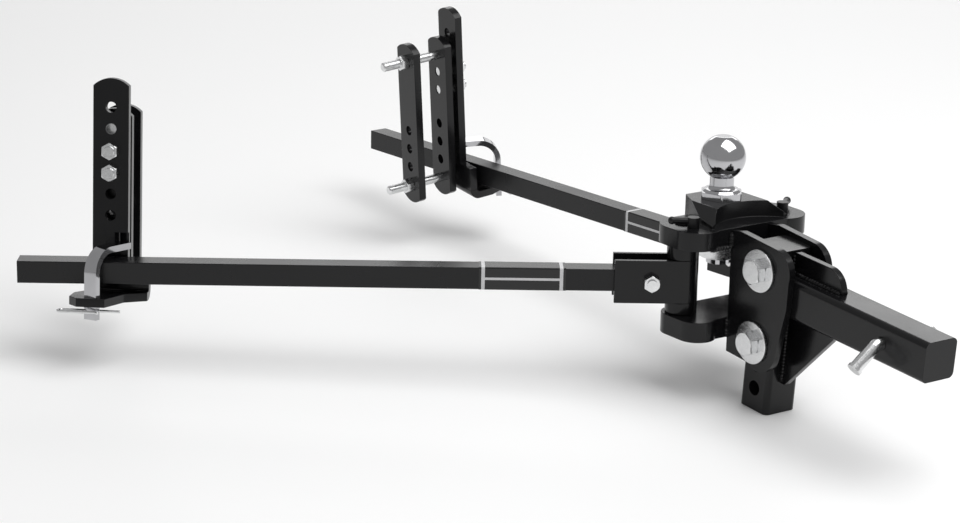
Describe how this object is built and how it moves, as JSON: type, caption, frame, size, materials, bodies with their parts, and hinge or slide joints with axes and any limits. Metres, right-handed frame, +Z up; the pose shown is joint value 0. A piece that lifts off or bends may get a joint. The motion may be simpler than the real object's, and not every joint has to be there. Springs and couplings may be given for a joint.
{
  "type": "weight distribution hitch",
  "caption": "Trunnion-bar weight distribution hitch: square drop shank, tilting ball head, swinging spring bars and frame-clamping sway brackets.",
  "frame": {"origin": "the receiver pin's axis on the shank's centreline", "axes": "+X forward along the shank towards the tow vehicle, +Y to the far side, +Z up"},
  "size_m": [1.2244, 0.8765, 0.3538],
  "materials": {
    "black_powder_coat": "gloss",
    "black_bar_coat": "satin",
    "zinc": "satin",
    "chrome": "polished",
    "black_lever": "satin"
  },
  "bodies": {
    "shank": {"shank_bar": "black_powder_coat", "drop_post": "black_powder_coat", "upper_gusset": "black_powder_coat", "lower_gusset": "black_powder_coat", "head_bolts": "zinc", "head_bolt_washers": "zinc", "head_bolt_nuts": "zinc"},
    "receiver_pin": {"receiver_pin": "zinc"},
    "receiver_clip": {"receiver_pin_clip": "zinc"},
    "head": {"head_top_plate": "black_powder_coat", "near_side_plate": "black_powder_coat", "far_side_plate": "black_powder_coat", "head_back_plate": "black_powder_coat", "lower_ear_plate": "black_powder_coat", "hitch_ball": "chrome", "ball_lock_washer": "zinc", "ball_nut": "zinc"},
    "near_lever": {"near_retaining_lever": "black_lever"},
    "near_bar": {"near_trunnion_pin": "black_powder_coat", "near_trunnion_collars": "black_powder_coat", "near_trunnion_strap": "black_powder_coat", "near_spring_bar": "black_bar_coat", "near_strap_bolt": "zinc", "near_strap_nut": "zinc"},
    "near_bracket": {"near_l_bracket": "black_powder_coat", "near_l_shelf": "black_powder_coat", "near_angle_plate": "black_powder_coat", "near_short_bolts": "zinc", "near_short_nuts": "zinc", "near_long_bolts": "zinc"},
    "near_link": {"near_link_plate": "black_powder_coat", "near_long_nuts": "zinc"},
    "near_l_pin": {"near_l_pin": "chrome"},
    "near_l_clip": {"near_l_pin_clip": "zinc"},
    "far_lever": {"far_retaining_lever": "black_lever"},
    "far_bar": {"far_trunnion_pin": "black_powder_coat", "far_trunnion_collars": "black_powder_coat", "far_trunnion_strap": "black_powder_coat", "far_spring_bar": "black_bar_coat", "far_strap_bolt": "zinc", "far_strap_nut": "zinc"},
    "far_bracket": {"far_l_bracket": "black_powder_coat", "far_l_shelf": "black_powder_coat", "far_angle_plate": "black_powder_coat", "far_short_bolts": "zinc", "far_short_nuts": "zinc", "far_long_bolts": "zinc"},
    "far_link": {"far_link_plate": "black_powder_coat", "far_long_nuts": "zinc"},
    "far_l_pin": {"far_l_pin": "chrome"},
    "far_l_clip": {"far_l_pin_clip": "zinc"}
  },
  "joints": [
    {"name": "receiver_pin_slide", "type": "slide", "parent": "shank", "child": "receiver_pin", "axis": [0, -1, 0], "range_m": [0, 0.026]},
    {"name": "receiver_clip_slide", "type": "slide", "parent": "receiver_pin", "child": "receiver_clip", "axis": [1, 0, 0], "range_m": [0, 0.05]},
    {"name": "head_tilt", "type": "hinge", "parent": "shank", "child": "head", "pos_m": [-0.21, 0, 0.0246], "axis": [0, -1, 0], "range_deg": [-4, 3]},
    {"name": "near_lever_turn", "type": "hinge", "parent": "head", "child": "near_lever", "pos_m": [-0.29914, -0.074, 0.06648], "axis": [-0.0698, 0, 0.9976], "range_deg": [0, 90]},
    {"name": "near_bar_swing", "type": "hinge", "parent": "head", "child": "near_bar", "pos_m": [-0.31553, -0.0704, -0.01456], "axis": [-0.0698, 0, 0.9976], "range_deg": [-18, 30]},
    {"name": "near_bracket_slide", "type": "slide", "parent": "near_bar", "child": "near_bracket", "axis": [-0.5578, -0.829, -0.039], "range_m": [-0.06, 0.05]},
    {"name": "near_link_clamp", "type": "slide", "parent": "near_bracket", "child": "near_link", "axis": [0.7514, -0.6387, 0.166], "range_m": [-0.02, 0.012]},
    {"name": "near_l_pin_lift", "type": "slide", "parent": "near_bracket", "child": "near_l_pin", "axis": [-0.1558, 0.0728, 0.9851], "range_m": [0, 0.004]},
    {"name": "near_l_clip_slide", "type": "slide", "parent": "near_l_pin", "child": "near_l_clip", "axis": [-0.6412, -0.766, -0.0448], "range_m": [0, 0.04]},
    {"name": "far_lever_turn", "type": "hinge", "parent": "head", "child": "far_lever", "pos_m": [-0.29914, 0.074, 0.06648], "axis": [0.0698, 0, -0.9976], "range_deg": [0, 90]},
    {"name": "far_bar_swing", "type": "hinge", "parent": "head", "child": "far_bar", "pos_m": [-0.31553, 0.0704, -0.01456], "axis": [-0.0698, 0, 0.9976], "range_deg": [-40, 6]},
    {"name": "far_bracket_slide", "type": "slide", "parent": "far_bar", "child": "far_bracket", "axis": [-0.9951, -0.0698, -0.0696], "range_m": [-0.06, 0.05]},
    {"name": "far_link_clamp", "type": "slide", "parent": "far_bracket", "child": "far_link", "axis": [0.036, 0.9926, 0.1156], "range_m": [-0.02, 0.012]},
    {"name": "far_l_pin_lift", "type": "slide", "parent": "far_bracket", "child": "far_l_pin", "axis": [0.0081, -0.116, 0.9932], "range_m": [0, 0.004]},
    {"name": "far_l_clip_slide", "type": "slide", "parent": "far_l_pin", "child": "far_l_clip", "axis": [-0.9993, 0.0348, 0.0123], "range_m": [0, 0.04]}
  ]
}
